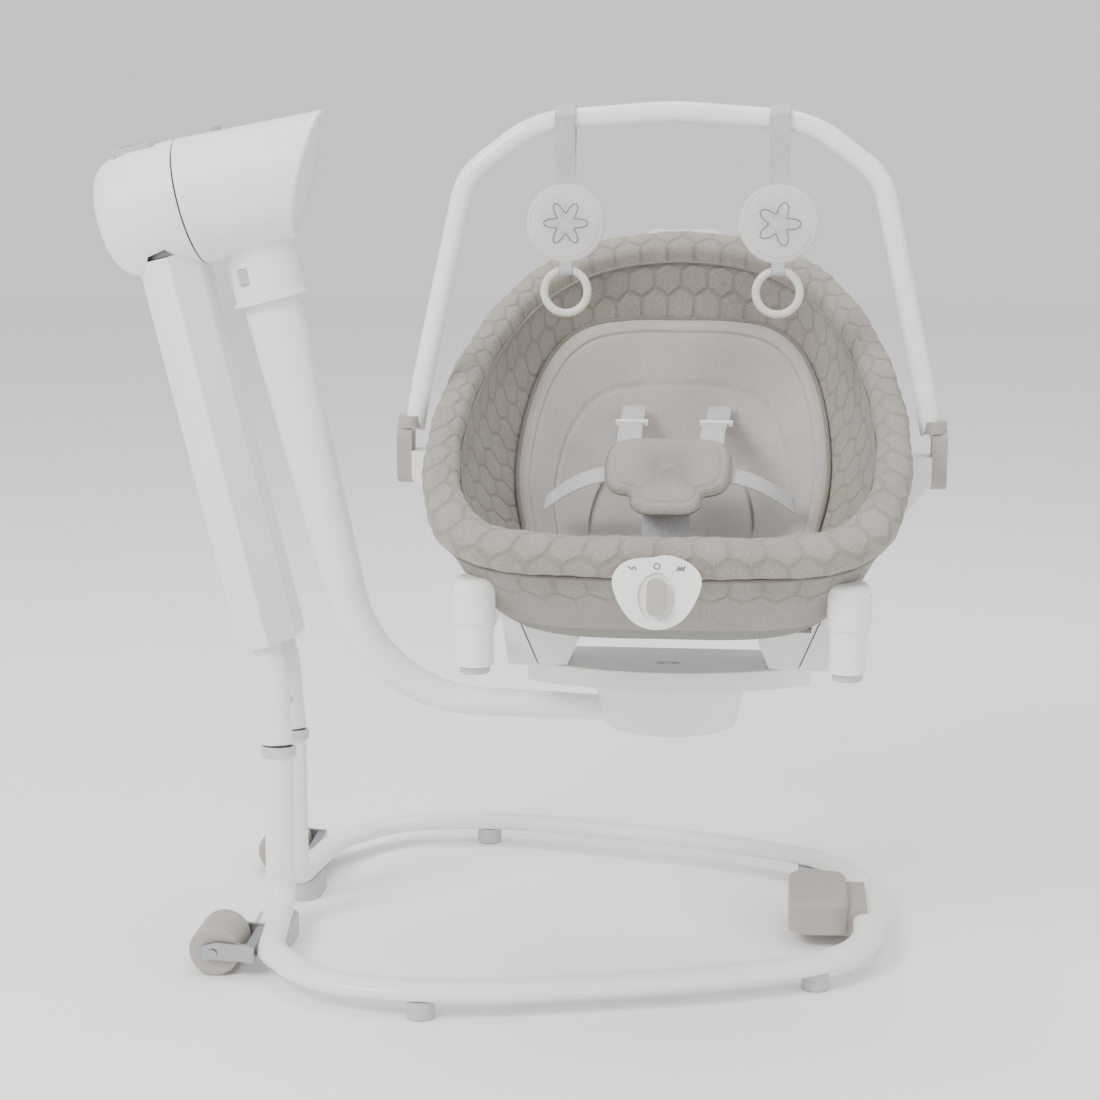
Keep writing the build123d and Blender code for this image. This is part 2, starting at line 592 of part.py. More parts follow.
def side_brackets(seat_envelope):
    """Side plates from the rails up to the toy bar's pivots."""
    plate = xz_slab([(-200, 404), (-200, 426), (-262, 496), (-262, 524), (-240, 524), (-226, 500),
                     (-172, 424), (-172, 404)], BAR_Y - 16, BAR_Y + 16)
    plate -= seat_envelope
    plate -= round_tube(Polyline((-RAIL_X, -226, RAIL_Z), (-RAIL_X, 60, RAIL_Z)), RAIL_R)
    plate -= Pos(-262, BAR_Y, BAR_PIVOT_Z) * Rot(0, 90, 0) * Cylinder(4.06, 60)
    plate = plate.solids().sort_by(SortBy.VOLUME)[-1]
    return plate


FACE_TILT = 10.0
UNIT = Plane(origin=(0, -325.5, 431), x_dir=(1, 0, 0),
             z_dir=(0, -math.cos(math.radians(FACE_TILT)), math.sin(math.radians(FACE_TILT))))


def shield(shrink):
    """Rounded shield outline: broad at the top, narrow below."""
    points = [(0, 34), (26, 30), (40, 16), (36, -6), (20, -27), (0, -33)]
    ring = points + [(-x, y) for x, y in reversed(points[1:-1])]
    factor = 1 - shrink / 36.0
    return make_face(Spline(*[(x * factor, y * factor, 0) for x, y in ring], periodic=True))


def vibration_unit():
    """Control housing on the front rim, with its motor, cell and turning knob."""
    box = extrude(shield(0), -22) - Pos(0, 0, -3) * extrude(shield(3), -16)
    box -= Pos(0, -3, -2) * extrude(Ellipse(17, 22), 4)
    box -= Pos(0, -3, -10) * Cylinder(4.05, 30)
    parts["unit_housing"] = UNIT.location * (box & Pos(0, 0, -6) * Box(120, 120, 13))
    back = (extrude(shield(0), -22) & Pos(0, 0, -17.4) * Box(120, 120, 9.2))
    parts["unit_back_cover"] = UNIT.location * (back - Pos(0, 0, -10) * Box(60, 30, 10.4))
    knob = Pos(0, -3, 4.2) * fillet(Box(17, 34, 12).edges().filter_by(Axis.Z), 7.5)
    knob += Pos(0, -3, -6) * Cylinder(4, 12)
    parts["vibration_knob"] = UNIT.location * knob
    motor = UNIT.location * (Pos(-19, 2, -9.8) * Rot(0, 90, 0) * Cylinder(4.2, 12))
    cell = UNIT.location * (Pos(18, 2, -9.2) * Rot(90, 0, 0) * Cylinder(4.4, 26))
    parts["vibration_motor_and_cell"] = Compound([*motor.solids(), *cell.solids()])


def seat():
    seat_hard()
    keep_out = [socket_room(side) for side in (-1, 1)] + [seat_frame(grow=0.5)]
    cover, rim_tube, pad = seat_soft(keep_out)
    parts["seat_cover"] = cover
    parts["rim_tube"] = rim_tube
    parts["body_pad"] = pad
    vibration_unit()
    harness()
    envelope = in_rim(bowl(COVER_OUT, grow=0.006))
    plate = side_brackets(envelope)
    parts["side_brackets"] = both_sides(plate)


def socket_room(side):
    """Room in the cover for a leg socket."""
    x, y, _, high = LEG_SEAT
    room = Pos(side * x, y, high - 4) * Cylinder(20.8, 49.5, align=(Align.CENTER, Align.CENTER, Align.MIN))
    return room + Pos(side * (x + 7), y + 21, RAIL_Z) * Box(31.6, 25.6, 26.6)


# ---------------------------------------------------------------- toy bar and toys
def toy_bar():
    half = [(-261, BAR_PIVOT_Z + 34), (-251, 600), (-207, 800), (-136, 854)]
    points = half + [(-x, z) for x, z in reversed(half)]
    path = FilletPolyline(*[(x, BAR_Y, z) for x, z in points[:4]], (0, BAR_Y, BAR_TOP_Z),
                          *[(x, BAR_Y, z) for x, z in points[4:]], radius=[300, 60, 110, 300, 110, 60, 300])
    tube = round_tube(path, BAR_R, 1.5)
    solid = round_tube(path, BAR_R)
    end = Pos(-268.5, BAR_Y, BAR_PIVOT_Z + 8) * Rot(0, 90, 0) * extrude(RectangleRounded(60, 28, 13), 9, both=True)
    end -= Pos(-257.7, BAR_Y, BAR_PIVOT_Z + 2) * Box(9, 40, 60)
    end += Pos(-264, BAR_Y, BAR_PIVOT_Z + 41) * Cylinder(13, 12)
    pin = Pos(-256, BAR_Y, BAR_PIVOT_Z) * Rot(0, 90, 0) * Cylinder(4, 16)
    end = end + pin - solid
    parts["toy_bar_tube"] = tube
    parts["toy_bar_ends"] = both_sides(end.solids().sort_by(SortBy.VOLUME)[-1])


def toy(side, name):
    """Fabric disc on a strap over the bar, with a teething ring hung below it."""
    x = side * TOY_X
    bar_z = BAR_TOP_Z - 7.8
    loop = Circle(BAR_R + 4) - Circle(BAR_R + 2)
    loop = Pos(x, BAR_Y, bar_z) * Rot(0, 90, 0) * extrude(loop, 10, both=True)
    strap_down = Pos(x, BAR_Y, (bar_z - BAR_R - 3 + 792) / 2) * Box(20, 2, bar_z - BAR_R - 3 - 792)
    hanger = (loop + strap_down).solids().sort_by(SortBy.VOLUME)[-1]
    disc = Pos(x, BAR_Y, 754) * Rot(90, 0, 0) * Cylinder(39.5, 10)
    disc = fillet(disc.edges().filter_by(GeomType.CIRCLE), 4.5)
    disc -= Pos(x, BAR_Y, 793) * Box(21, 2.6, 12)
    parts["toy_disc_" + name] = disc
    ring_z = 686.0
    ring = Pos(x, BAR_Y, ring_z) * Rot(90, 0, 0) * Torus(21.8, 4.0)
    ribbon = Pos(x, BAR_Y, (714.3 + ring_z + 16.8) / 2) * Box(13, 1.6, 714.3 - ring_z - 16.8)
    parts["toy_ring_" + name] = (ring - Pos(x, BAR_Y, ring_z + 22) * Box(14, 12, 20)).solids().sort_by(
        SortBy.VOLUME)[-1]
    parts["toy_straps_" + name] = Compound([hanger, *ribbon.solids()])


def toys():
    toy_bar()
    for side, name in ((-1, "left"), (1, "right")):
        toy(side, name)


# ---------------------------------------------------------------- assembly
def footprint_shift():
    """Move that brings the middle of the footprint to the origin."""
    box = Compound([s for shape in parts.values() for s in shape.solids()]).bounding_box()
    return Pos(-round(box.center().X, 1), -round(box.center().Y, 1), 0)


def main():
    stand()
    head()
    swing_arm()
    carrier()
    seat()
    toys()
    move = footprint_shift()
    os.makedirs("parts", exist_ok=True)
    for name, shape in parts.items():
        solids = shape.solids()
        placed = move * (solids[0] if len(solids) == 1 else Compound(solids))
        export_step(placed, "parts/" + name + ".step")
    print("nodes", len(parts), "shift", move.position)


main()
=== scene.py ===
import math
import bmesh
import bpy
import numpy as np
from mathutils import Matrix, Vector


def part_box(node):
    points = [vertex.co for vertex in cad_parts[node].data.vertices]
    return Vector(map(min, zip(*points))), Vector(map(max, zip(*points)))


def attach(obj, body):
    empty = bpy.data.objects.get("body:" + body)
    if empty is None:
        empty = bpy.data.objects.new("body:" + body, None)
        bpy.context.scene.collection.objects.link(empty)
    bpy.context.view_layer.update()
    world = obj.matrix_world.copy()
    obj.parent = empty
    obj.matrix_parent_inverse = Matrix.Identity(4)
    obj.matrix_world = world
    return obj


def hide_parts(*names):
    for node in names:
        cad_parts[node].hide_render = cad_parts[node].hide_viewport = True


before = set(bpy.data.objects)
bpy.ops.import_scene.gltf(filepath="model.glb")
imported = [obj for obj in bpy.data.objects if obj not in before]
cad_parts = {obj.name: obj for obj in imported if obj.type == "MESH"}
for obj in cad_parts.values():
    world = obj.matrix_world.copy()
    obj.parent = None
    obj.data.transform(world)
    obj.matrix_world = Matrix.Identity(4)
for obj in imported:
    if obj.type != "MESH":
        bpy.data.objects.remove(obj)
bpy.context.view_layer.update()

# The seat's swivel axis stands at HOME; the drawing sizes below are millimetres from it.
post_low, post_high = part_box("swivel_post")
HOME = np.array([(post_low.x + post_high.x) / 2, (post_low.y + post_high.y) / 2, 0.0])
SLOPE = math.radians(28)
UP_SLOPE = np.array([0, math.cos(SLOPE), math.sin(SLOPE)])
OUT_OF_SEAT = np.array([0, -math.sin(SLOPE), math.cos(SLOPE)])
RIM_FRONT = np.array([0, -280.0, 455.0])     # middle of the front rim
RIM_MIDDLE = 270.0                           # middle of the rim outline, measured up the slope
FLOOR_SHIFT = 0.3                            # the bowl moves this much down the slope per unit of depth
PAD_MIDDLE = np.array([0, 300])              # middle of the body pad, across and up the slope
PAD_THICK = 16.5
STRAP_WIDTH, CROTCH_WIDTH, WEB_THICK = 25.0, 48.0, 0.002
BAR_Y, BAR_Z, TOY_X = -60.0, 856.2, 106.0    # toy bar's plane and height over a toy, a toy's place across
DISC_Z, DISC_RADIUS, DISC_RISE = 754, 39.5, 5.6
RING_TUBE_Z = 707.8                          # height of the ring's tube where its ribbon passes round it
UNIT_FACE = np.array([0, -325.5, 431.0])     # middle of the seat control unit's face
UNIT_TILT = math.radians(10)
DRUM_END = np.array([-376.0, 0, 802.0])      # point on the head's axis
HEAD_LEAN = math.radians(13.4)
PANEL_HEIGHT = 69.1                          # just above the control panel, measured from the head's axis


def place(points):
    """Drawing millimetres to metres in the row frame."""
    return np.asarray(points, float) / 1000 + HOME


def in_seat(points):
    """Seat coordinates (across, up the slope, depth below the rim) to the row frame: the front of the rim
    plus across times X, plus up times the slope's direction, minus depth times the way out of the seat."""
    p = np.asarray(points, float)
    return place(RIM_FRONT + p[..., :1] * np.array([1.0, 0, 0])
                 + p[..., 1:2] * UP_SLOPE - p[..., 2:3] * OUT_OF_SEAT)


# ---------------------------------------------------------------- curves and surfaces
def smooth(points, count, closed=False):
    """Curve through the points, a cubic between each two with its slope from their neighbours, read off at
    even arc lengths."""
    p = np.asarray(points, float)
    p = np.vstack([p[-1], p, p[0], p[1]]) if closed else np.vstack([2 * p[0] - p[1], p, 2 * p[-1] - p[-2]])
    spans = len(p) - 3
    t = np.linspace(0, spans, spans * 24 + 1)
    i = np.minimum(t.astype(int), spans - 1)
    f = (t - i)[:, None]
    a, b, c, d = p[i], p[i + 1], p[i + 2], p[i + 3]
    curve = 0.5 * (2 * b + (c - a) * f + (2 * a - 5 * b + 4 * c - d) * f**2 + (3 * b - a - 3 * c + d) * f**3)
    arc = np.concatenate([[0], np.cumsum(np.linalg.norm(np.diff(curve, axis=0), axis=1))])
    s = np.linspace(0, arc[-1], count + 1)[:-1] if closed else np.linspace(0, arc[-1], count)
    return np.column_stack([np.interp(s, arc, curve[:, k]) for k in range(p.shape[1])])


def mirrored_ring(half):
    """Closed outline from its right half, which starts and ends on the middle line."""
    half = np.asarray(half, float)
    return np.vstack([half, half[-2:0:-1] * [-1, 1]])


def surface(name, grid, wrap_along=False):
    """Mesh over a grid of points, always closed round the first direction; the two ends are closed where
    their points meet, and the second direction closes too if wrap_along. Its UV map is arc length in metres."""
    n, m = grid.shape[:2]
    last = m if wrap_along else m - 1
    i, j = np.meshgrid(np.arange(n), np.arange(last), indexing="ij")
    i, j = i.ravel(), j.ravel()
    ni, nj = (i + 1) % n, (j + 1) % m
    faces = np.stack([i * m + j, ni * m + j, ni * m + nj, i * m + nj], 1)
    ring = grid[:, m // 2]
    u = np.concatenate([[0], np.cumsum(np.linalg.norm(np.roll(ring, -1, 0) - ring, axis=1))])
    step = np.linalg.norm(np.roll(grid, -1, 1) - grid, axis=2).mean(0)
    v = np.concatenate([[0], np.cumsum(step)])
    uv = np.stack([np.stack([u[i], u[i + 1], u[i + 1], u[i]], 1),
                   np.stack([v[j], v[j], v[j + 1], v[j + 1]], 1)], 2)
    mesh = bpy.data.meshes.new(name)
    mesh.from_pydata(grid.reshape(-1, 3).tolist(), [], faces.tolist())
    mesh.uv_layers.new(name="UVMap").data.foreach_set("uv", uv.astype(np.float32).ravel())
    work = bmesh.new()
    work.from_mesh(mesh)
    bmesh.ops.remove_doubles(work, verts=work.verts, dist=2e-6)
    bmesh.ops.recalc_face_normals(work, faces=work.faces)
    if work.calc_volume(signed=True) < 0:
        bmesh.ops.reverse_faces(work, faces=work.faces)
    work.to_mesh(mesh)
    work.free()
    mesh.polygons.foreach_set("use_smooth", np.ones(len(mesh.polygons), bool))
    piece = bpy.data.objects.new(name, mesh)
    bpy.context.scene.collection.objects.link(piece)
    return piece


def unit(v):
    return v / np.maximum(np.linalg.norm(v, axis=-1, keepdims=True), 1e-12)


def carried(name, path, section, across, closed=False):
    """A section carried along a path in metres: each point is the path's point, plus the section's width
    along the given direction made square to the path, plus its height along the third direction."""
    along = unit(np.roll(path, -1, 0) - np.roll(path, 1, 0)) if closed else unit(np.gradient(path, axis=0))
    side = unit(across - (along @ across)[:, None] * along)
    up = np.cross(along, side)
    grid = path[None] + section[:, None, :1] * side[None] + section[:, None, 1:] * up[None]
    if not closed:
        ends = np.broadcast_to(path[None], grid.shape)
        grid = np.concatenate([ends[:, :1], grid, ends[:, -1:]], 1)
    return surface(name, grid, wrap_along=closed)


def round_section(radius, count=14):
    """Circle: the cosine and the sine of the angle times the radius."""
    a = np.linspace(0, 2 * math.pi, count, endpoint=False)
    return radius * np.column_stack([np.cos(a), np.sin(a)])


def web_section(width, thick, count=20):
    """Webbing section: a flattened oval, the cosine raised to a quarter and the sine to a half, so that its
    corners are nearly square."""
    a = np.linspace(0, 2 * math.pi, count, endpoint=False)
    c, s = np.cos(a), np.sin(a)
    across = width / 2 * np.sign(c) * np.abs(c) ** 0.25
    return np.column_stack([across, thick / 2 * np.sign(s) * np.abs(s) ** 0.5])


def pillow_rows(count, power):
    """Shares from the middle to the edge, and the height at each: the square root of one minus the share
    raised to a power."""
    share = np.sin(np.linspace(0, math.pi / 2, count))
    return share, np.sqrt(np.maximum(1 - share**power, 0))


def pillow(name, outline, middle, base, rise, drop, place_in, seam=0.86, power=7):
    """Stuffed flat piece: the outline shrunk towards its middle by each share, raised on top and lowered
    beneath by the height at that share, with a stitched groove at one share."""
    share, height = pillow_rows(34, power)
    groove = 0.16 * np.exp(-((share - seam) / 0.022) ** 2)
    flat = middle + (outline[:, None] - middle) * share[None, :, None]
    top = base + rise * (height - groove)
    low = base - drop * (height - groove)
    rows = np.concatenate([flat, flat[:, ::-1]], 1)
    heights = np.concatenate([top, low[::-1]])
    grid = np.concatenate([rows, np.broadcast_to(heights[None, :, None], rows.shape[:2] + (1,))], 2)
    return surface(name, place_in(grid))


# ---------------------------------------------------------------- finishes
class Wire:
    """One output of a node, with plain arithmetic."""

    def __init__(self, finish, socket):
        self.finish, self.socket = finish, socket

    def do(self, operation, other=None, first=None):
        a, b = (self, other) if first is None else (first, self)
        return self.finish.node("Math", {0: a, 1: b}, operation=operation)

    def __add__(self, other):
        return self.do("ADD", other)

    __radd__ = __add__

    def __mul__(self, other):
        return self.do("MULTIPLY", other)

    __rmul__ = __mul__

    def __sub__(self, other):
        return self.do("SUBTRACT", other)

    def __rsub__(self, other):
        return self.do("SUBTRACT", first=other)

    def __truediv__(self, other):
        return self.do("DIVIDE", other)


class Finish:
    """A material: its constants are set on the shader, and node() adds every node."""

    def __init__(self, name, **constants):
        self.material = bpy.data.materials.new(name)
        self.material.use_nodes = True
        self.tree = self.material.node_tree
        self.shader = self.tree.nodes["Principled BSDF"]
        for key, value in constants.items():
            self.shader.inputs[key.replace("_", " ").title()].default_value = value

    def node(self, kind, inputs, out=0, **settings):
        n = self.tree.nodes.new("ShaderNode" + kind)
        for key, value in settings.items():
            setattr(n, key, value)
        for key, value in inputs.items():
            if isinstance(value, Wire):
                self.tree.links.new(value.socket, n.inputs[key])
            elif value is not None:
                n.inputs[key].default_value = value
        return Wire(self, n.outputs[out])

    def drive(self, **wires):
        for key, wire in wires.items():
            self.tree.links.new(wire.socket, self.shader.inputs[key.replace("_", " ").title()])
        return self.material

    def noise(self, where, scale, detail=3.0):
        return self.node("TexNoise", {"Vector": where, "Scale": scale, "Detail": detail})

    def mix(self, share, a, b):
        return self.node("Mix", {0: share, 6: a, 7: b}, out=2, data_type="RGBA")

    def ramp(self, value, low, high, at_low, at_high):
        return self.node("MapRange", {0: value, 1: low, 2: high, 3: at_low, 4: at_high},
                         interpolation_type="SMOOTHSTEP")

    def bump(self, height):
        return self.node("Bump", {"Height": height, "Strength": 1.0, "Distance": 0.001})


def tone(r, g, b, gain=1.0):
    """Display colour out of 255 to the linear colour that the shader wants."""
    c = np.array([r, g, b]) / 255
    linear = np.where(c <= 0.04045, c / 12.92, ((c + 0.055) / 1.055) ** 2.4) * gain
    return [*np.clip(linear, 0, 0.95).tolist(), 1.0]


def hard(name, colour, rough, grain, depth, spread=0.03, **constants):
    """Moulded, painted or machined surface: faint tone drift, roughness drift and a fine grain."""
    f = Finish(name, **constants)
    where = f.node("TexCoord", {}, out=3)
    drift = f.noise(where, 9.0)
    fine = f.noise(where, grain, 2.0)
    darker = [c * (1 - spread * 2) for c in colour[:3]] + [1]
    return f.drive(base_color=f.mix(f.ramp(drift, 0.3, 0.7, 0, 1), darker, colour),
                   roughness=f.ramp(drift, 0.25, 0.75, rough - 0.05, rough + 0.05),
                   normal=f.bump(fine * depth))


def cloth(name, light, dark, pitch, quilt=None, lower=None, weave=0.16):
    """Woven cloth on its UV map: crossed threads at one pitch, flecked yarn, soft creases, and where asked a
    honeycomb of stitched cells with painted shade in their grooves, or another colour below one length along the
    map."""
    f = Finish(name, sheen_weight=0.25, sheen_roughness=0.5)
    uv = f.node("TexCoord", {}, out=2)
    u = f.node("SeparateXYZ", {0: uv}, out=0)
    v = f.node("SeparateXYZ", {0: uv}, out=1)
    threads = (u * (2 * math.pi / pitch)).do("SINE") * (v * (2 * math.pi / pitch)).do("SINE")
    where = f.node("TexCoord", {}, out=3)
    fleck, drift = f.noise(where, 900.0, 2.0), f.noise(where, 14.0)
    colour = f.mix(f.ramp(fleck * 0.75 + drift * 0.25, 0.38, 0.62, 0, 1), dark, light)
    height = threads * weave + fleck * 0.25 + drift * 0.9
    if quilt:
        size, start, end = quilt
        px, py = u / size, v / (size * 3**0.5)

        def cell(shift):
            x = ((px + shift).do("FRACT") - 0.5).do("ABSOLUTE")
            y = ((py + shift).do("FRACT") - 0.5).do("ABSOLUTE") * 3**0.5
            return x.do("MAXIMUM", x * 0.5 + y * 0.866)

        seam = f.ramp(cell(0.0).do("MINIMUM", cell(0.5)), 0.36, 0.5, 0, 1)
        fade = 0.006
        seam = seam * f.ramp(v, start - fade, start + fade, 0, 1) * f.ramp(v, end - fade, end + fade, 1, 0)
        height = height - seam * 2.2
        # Painted shade: the stitched grooves of the honeycomb are darkened towards a deeper taupe, as shade in the
        # recesses.
        colour = f.mix(seam * 0.35, colour, [c * 0.7 for c in dark[:3]] + [1])
    if lower:
        tint, until = lower
        colour = f.mix(f.ramp(v, until - 0.001, until + 0.001, 1, 0), colour, tint)
    return f.drive(base_color=colour, roughness=f.ramp(drift, 0.2, 0.8, 0.82, 0.95), normal=f.bump(height))


WHITE_PAINT = hard("white_powder_coat", tone(243, 243, 240), 0.36, 700, 0.10, coat_weight=0.15)
WHITE_SHELL = hard("white_moulding", tone(240, 241, 238), 0.42, 1100, 0.14)
GREY_SHELL = hard("grey_moulding", tone(186, 188, 186), 0.5, 1100, 0.14)
GREY_FOOT = hard("grey_rubber_foot", tone(188, 192, 194), 0.72, 600, 0.3)
PALE_RING = hard("pale_grey_collar", tone(206, 208, 208), 0.5, 1100, 0.12)
TAUPE_SHELL = hard("taupe_moulding", tone(168, 160, 153), 0.5, 900, 0.18)
KNOB = hard("taupe_knob", tone(176, 170, 161), 0.45, 900, 0.15)
TOY_RING = hard("toy_ring_plastic", tone(214, 207, 199), 0.4, 900, 0.1)
STEEL = hard("turned_steel", tone(170, 172, 175), 0.3, 500, 0.05, metallic=1.0)
COPPER = hard("wound_copper", tone(184, 115, 70), 0.4, 300, 0.4, metallic=1.0)
BOARD = hard("coated_board", tone(40, 90, 60), 0.35, 200, 0.1)
BUTTON = hard("blue_grey_button", tone(150, 160, 170), 0.45, 900, 0.1)
DARK_LINE = hard("printed_sign", tone(96, 98, 100), 0.6, 900, 0.05)
COVER = cloth("taupe_quilted_cover", tone(170, 161, 151), tone(140, 131, 121), 0.0011,
              quilt=(0.034, 0.30, 0.60), lower=(tone(130, 127, 116), 0.245))
EDGE = cloth("taupe_piping", tone(146, 137, 127), tone(122, 114, 105), 0.0009)
PAD = cloth("greige_body_pad", tone(204, 196, 192), tone(180, 171, 167), 0.0009)
TUMMY = cloth("taupe_tummy_pad", tone(176, 169, 162), tone(150, 143, 136), 0.0010)
WEB = cloth("pale_webbing", tone(226, 227, 228), tone(196, 198, 200), 0.0018, weave=0.5)
PLUSH = cloth("off_white_plush", tone(238, 236, 232), tone(220, 217, 212), 0.0009)
THREAD = cloth("embroidery_thread", tone(150, 146, 142), tone(120, 116, 112), 0.0008)

FINISH_OF = {}
for finish, nodes in (
        (WHITE_PAINT, "base_tube upper_tubes arm_tube seat_frame_tube runner_tube toy_bar_tube seat_legs"),
        (WHITE_SHELL, "head_shell column_rear_cover column_front_cover rotor_shell rotor_end_cap arm_socket"
                      " hub_cup carrier_plate docks leg_sockets seat_mounts back_handle side_brackets unit_housing"
                      " strap_sliders"),
        (GREY_SHELL, "control_panel unit_back_cover socket_button snap_button_near snap_button_far"
                     " speed_button"),
        (PALE_RING, "tube_collars"), (BUTTON, "lock_button power_button"), (KNOB, "vibration_knob"),
        (GREY_FOOT, "base_feet glide_feet"), (TAUPE_SHELL, "roller_near roller_far front_block toy_bar_ends"),
        (TOY_RING, "toy_ring_left toy_ring_right"), (COPPER, "drive_coil"),
        (BOARD, "control_board vibration_motor_and_cell"),
        (STEEL, "roller_forks_and_axles bearing_block bearings sway_shaft rotor_hub drive_magnet swivel_post"
                " plate_screw rim_tube"),
        (COVER, "seat_cover"), (PAD, "body_pad"), (TUMMY, "tummy_pad"),
        (WEB, "harness_straps toy_straps_left toy_straps_right"), (PLUSH, "toy_disc_left toy_disc_right")):
    FINISH_OF.update({n: finish for n in nodes.split()})
for node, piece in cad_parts.items():
    piece.data.materials.clear()
    piece.data.materials.append(FINISH_OF[node])


def fit(piece, finish, body, stands_for=()):
    """Gives a new piece its finish, its body and what it stands for."""
    piece.data.materials.append(finish)
    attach(piece, body)
    if stands_for:
        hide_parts(*stands_for)
    return piece


# ---------------------------------------------------------------- seat
RIM_HALF = [(0, -4), (70, -4), (130, 0), (176, 14), (204, 44), (220, 90), (228, 150), (228, 205), (223, 265),
            (213, 325), (198, 385), (178, 440), (150, 490), (112, 530), (60, 557), (0, 566)]
RIM = smooth(mirrored_ring(RIM_HALF), 360, closed=True)


def bowl(levels):
    """Bowl over the rim outline: at each level of depth and scale, the outline scaled about its middle, and
    the middle moved down the slope by three tenths of the depth."""
    depth, scale = levels[:, 0], np.maximum(levels[:, 1], 0)
    x = RIM[:, :1] * scale[None]
    q = RIM_MIDDLE - FLOOR_SHIFT * np.maximum(depth, 0)[None] + (RIM[:, 1:] - RIM_MIDDLE) * scale[None]
    return np.stack([x, q, np.broadcast_to(depth[None], x.shape)], 2)


def puffed(grid, amount):
    """Moves a surface along its own normal by an amount for each point."""
    across = np.roll(grid, -1, 0) - np.roll(grid, 1, 0)
    along = np.gradient(grid, axis=1)
    return grid + unit(np.cross(across, along)) * amount[..., None]


def seat_cover():
    """Bowl with a rolled rim. Gathers run down from the rim as sines round the outline that fade with depth."""
    levels = [(165, 0), (165, 0.24), (164, 0.44), (133, 0.69), (92, 0.85), (45, 0.95), (24, 0.985), (16, 1.0),
              (9, 1.035), (-2, 1.045), (-11, 1.02), (-15, 0.965), (-11, 0.915), (2, 0.895), (45, 0.889),
              (90, 0.79), (128, 0.62), (152, 0.40), (155, 0.2), (155, 0)]
    profile = smooth(levels, 190)
    grid = bowl(profile)
    turn = np.linspace(0, 2 * math.pi, len(RIM), endpoint=False)[:, None]
    rim_share = np.exp(-((profile[:, 0] + 2) / 20.0) ** 2)[None]
    gather = 0.5 * np.sin(turn * 74 + 2 * np.sin(turn * 5)) + 0.8 * np.sin(turn * 19 + 1.3)
    grid = puffed(grid, gather * rim_share)
    return fit(surface("quilted_cover", in_seat(grid)), COVER, "seat",
               ["seat_cover", "rim_tube"])


def rim_piping():
    """Cords sewn round the rim: the outline scaled at one depth, with a round section."""
    for name, depth, scale, radius in (("lower_piping", 17, 1.004, 2.4), ("inner_piping", 4, 0.889, 1.8)):
        path = in_seat(bowl(np.array([[depth, scale]]))[:, 0])
        fit(carried(name, path, round_section(radius / 1000), OUT_OF_SEAT, closed=True), EDGE, "seat")


PAD_HALF = [(0, 92), (44, 94), (74, 104), (112, 134), (146, 184), (162, 250), (162, 320), (152, 386), (132, 440),
            (100, 478), (52, 499), (0, 504)]


def body_pad():
    """Pad lying in the bowl: for each direction round the outline the bowl's wall is followed from the
    floor's middle until it reaches the pad's edge, where the distance from the pad's middle passes its outline.
    Its upper face stands off along the normal by the pillow height less two stitched grooves."""
    levels = smooth([(152, 0), (152, 0.2), (151, 0.395), (127, 0.615), (89, 0.784), (45, 0.884),
                     (4, 0.894)], 260)
    wall = bowl(levels)
    edge = smooth(mirrored_ring(PAD_HALF), 400, closed=True) - PAD_MIDDLE
    bearing = np.arctan2(edge[:, 1], edge[:, 0])
    order = np.argsort(bearing)
    bearing, reach = bearing[order], np.linalg.norm(edge, axis=1)[order]
    offset = wall[..., :2] - PAD_MIDDLE
    limit = np.interp(np.arctan2(offset[..., 1], offset[..., 0]), bearing, reach, period=2 * math.pi)
    over = np.linalg.norm(offset, axis=2) - limit
    over[:, :60] = -1
    hit = np.maximum(np.argmax(over > 0, axis=1), 1)
    rows = np.arange(len(RIM))
    before, after = over[rows, hit - 1], over[rows, hit]
    stop = hit - 1 + np.clip(-before / np.maximum(after - before, 1e-9), 0, 1)
    kernel = np.ones(9) / 9
    stop = np.convolve(np.concatenate([stop[-4:], stop, stop[:4]]), kernel, "valid")
    share, height = pillow_rows(80, 9)
    t = share[None] * stop[:, None]
    k = np.minimum(t.astype(int), len(levels) - 2)
    part = (t - k)[..., None]
    low = wall[rows[:, None], k] * (1 - part) + wall[rows[:, None], k + 1] * part
    groove = 3.2 * np.exp(-((share - 0.87) / 0.012) ** 2) + 2.0 * np.exp(-((share - 0.45) / 0.02) ** 2)
    soft = 1.2 * np.sin(low[..., 0] / 23) * np.sin(low[..., 1] / 31)
    thick = PAD_THICK * height[None] - groove[None] * height[None] + soft * height[None] ** 2
    normal = unit(np.cross(np.roll(low, -1, 0) - np.roll(low, 1, 0), np.gradient(low, axis=1)))
    normal[:, :2] = normal[:, 2:3]
    normal *= -np.sign(normal[:, 10:30, 2].mean())
    normal[:, :4] = unit(normal[:, 4].mean(0))
    top = low + normal * thick[..., None]
    grid = np.concatenate([top, low[:, ::-1]], 1)
    fit(surface("body_pad_soft", in_seat(grid)), PAD, "seat", ["body_pad"])
    border = in_seat(low[:, -1] + normal[:, -1] * 2.0)
    fit(carried("pad_edge_binding", border, round_section(0.0026), OUT_OF_SEAT, closed=True), EDGE, "seat")


TUMMY_HALF = [(0, 116), (22, 117), (33, 128), (36, 144), (50, 150), (59, 164), (62, 195), (58, 224), (42, 237),
              (0, 238)]


